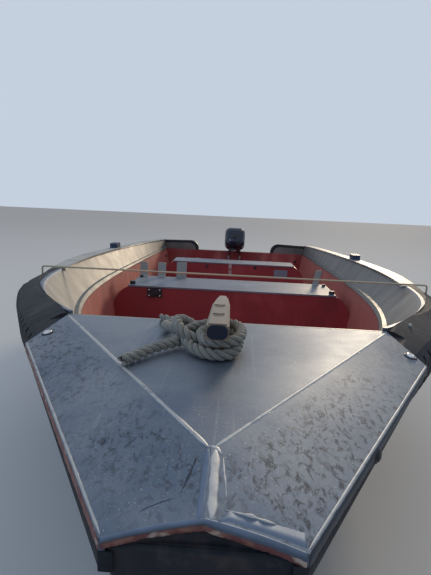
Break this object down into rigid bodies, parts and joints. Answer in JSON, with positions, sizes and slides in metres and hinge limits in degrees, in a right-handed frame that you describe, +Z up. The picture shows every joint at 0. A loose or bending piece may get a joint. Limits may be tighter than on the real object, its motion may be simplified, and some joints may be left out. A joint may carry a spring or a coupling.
{
  "type": "rowing boat",
  "caption": "Open moulded rowing boat with a metal foredeck plate, cleat and rope, thwarts, a lidded locker and a small outboard tilted up on the transom.",
  "frame": {"origin": "centre of the bounding box at the keel's level underside", "axes": "+Y from bow to stern along the keel, +X to port, +Z up"},
  "size_m": [1.616, 4.6146, 0.736],
  "materials": {
    "grey_plastic": "moulded polyethylene, weathered grey",
    "red_plastic": "moulded polyethylene, faded red",
    "dark_red_plastic": "moulded polyethylene, dark red",
    "grey_trim": "moulded strip, mid grey",
    "pale_plastic": "moulded plastic, pale grey",
    "worn_aluminium": "worn sheet with scratches",
    "grey_label": "plain plate",
    "black_plastic": "moulded black",
    "black_rubber": "ribbed black rubber",
    "navy_rubber": "dark cap",
    "navy_plastic": "dark blue block",
    "beige_plastic": "beige-grey casting",
    "yellow_line": "thin yellow line",
    "rope": "three-strand laid rope, grey beige",
    "steel": "plain steel",
    "dark_grey_metal": "dark grey paint",
    "navy_metal": "dark navy paint",
    "navy_gloss": "dark navy cover",
    "cast_iron": "plain block for the engine"
  },
  "bodies": {
    "boat": {"blank_plate": "grey_label", "bow_cleat": "beige_plastic", "bow_cleat_end": "navy_rubber", "bow_fender_port": "black_rubber", "bow_fender_starboard": "black_rubber", "bow_pad": "black_rubber", "catch_plate": "black_plastic", "clamp_bracket": "dark_grey_metal", "clamp_screws": "steel", "foredeck_plate": "worn_aluminium", "gunwale_edge_port": "worn_aluminium", "gunwale_edge_starboard": "worn_aluminium", "hull": "grey_plastic", "line_across": "yellow_line", "line_eyes": "black_plastic", "liner": "red_plastic", "liner_trim": "grey_trim", "locker_catch": "steel", "locker_hinge_pins": "steel", "mooring_rope_loop": "rope", "mooring_rope_tail": "rope", "mooring_rope_turns": "rope", "rim_cap_port": "pale_plastic", "rim_cap_starboard": "pale_plastic", "rowlock_socket_port": "navy_plastic", "rowlock_socket_starboard": "navy_plastic", "seat_knobs": "black_plastic", "seat_lugs": "pale_plastic", "stern_corner_port": "black_plastic", "stern_corner_starboard": "black_plastic", "thwart_aft_locker": "dark_red_plastic", "thwart_forward": "dark_red_plastic", "thwart_forward_top": "grey_plastic", "tilt_pin": "steel"},
    "swivel": {"swivel_bracket": "dark_grey_metal"},
    "motor": {"motor_leg": "navy_metal", "motor_lower_unit": "navy_metal", "motor_pan": "navy_metal", "motor_cowling": "navy_gloss", "engine_block": "cast_iron", "starter_grip": "black_plastic", "filler_cap": "black_plastic", "tiller_arm": "dark_grey_metal", "tiller_grip": "black_rubber"},
    "screw": {"propeller": "black_plastic", "propeller_shaft": "steel"},
    "lid": {"locker_lid": "grey_plastic", "locker_hasp": "steel"}
  },
  "joints": [
    {"name": "outboard_tilt", "type": "hinge", "parent": "boat", "child": "swivel", "pos_m": [0, 1.69775, 0.455], "axis": [-1, 0, 0], "range_deg": [0, 68]},
    {"name": "outboard_steer", "type": "hinge", "parent": "swivel", "child": "motor", "pos_m": [0, 1.71498, 0.49765], "axis": [0, -0.9272, 0.3746], "range_deg": [-40, 40]},
    {"name": "propeller_spin", "type": "hinge", "parent": "motor", "child": "screw", "pos_m": [0, 2.22206, 0.42867], "axis": [0, 0.3746, 0.9272], "continuous": true},
    {"name": "locker_lid", "type": "hinge", "parent": "boat", "child": "lid", "pos_m": [0, 0.97675, 0.43], "axis": [-1, 0, 0], "range_deg": [0, 100]}
  ]
}
